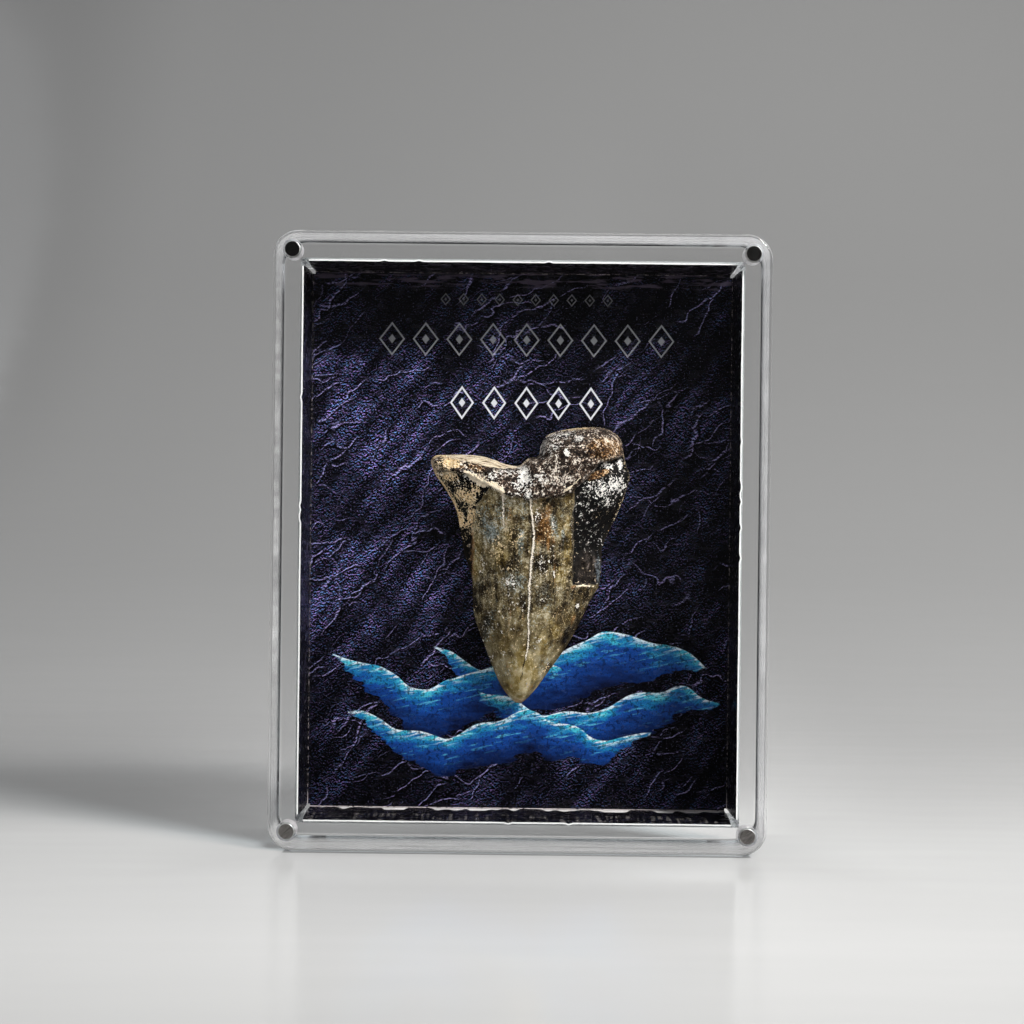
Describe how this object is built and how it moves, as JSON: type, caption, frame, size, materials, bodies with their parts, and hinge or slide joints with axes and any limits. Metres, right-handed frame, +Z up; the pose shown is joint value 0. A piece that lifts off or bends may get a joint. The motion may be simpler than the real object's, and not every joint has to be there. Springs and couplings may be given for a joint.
{
  "type": "megalodon tooth display",
  "caption": "Fossil shark tooth with a chipped root and cracked enamel, fixed on a dark printed card inside a clear upright box with a lift-off magnetic cover.",
  "frame": {"origin": "middle of the footprint, on the surface that the box stands on", "axes": "+Z up the box, -Y out of its front face and cover, +X to the right seen from the front"},
  "size_m": [0.115, 0.028, 0.143],
  "materials": {
    "fossil_tooth": "satin",
    "clear_acrylic": "polished",
    "printed_card": "satin",
    "magnet_steel": "satin"
  },
  "bodies": {
    "root": {"megalodon_tooth": "fossil_tooth", "acrylic_body": "clear_acrylic", "acrylic_cover": "clear_acrylic", "card_tray": "printed_card", "cover_magnet_top_left": "magnet_steel", "cover_magnet_top_right": "magnet_steel", "cover_magnet_bottom_left": "magnet_steel", "cover_magnet_bottom_right": "magnet_steel", "body_magnet_top_left": "magnet_steel", "body_magnet_top_right": "magnet_steel", "body_magnet_bottom_left": "magnet_steel", "body_magnet_bottom_right": "magnet_steel"}
  },
  "joints": []
}
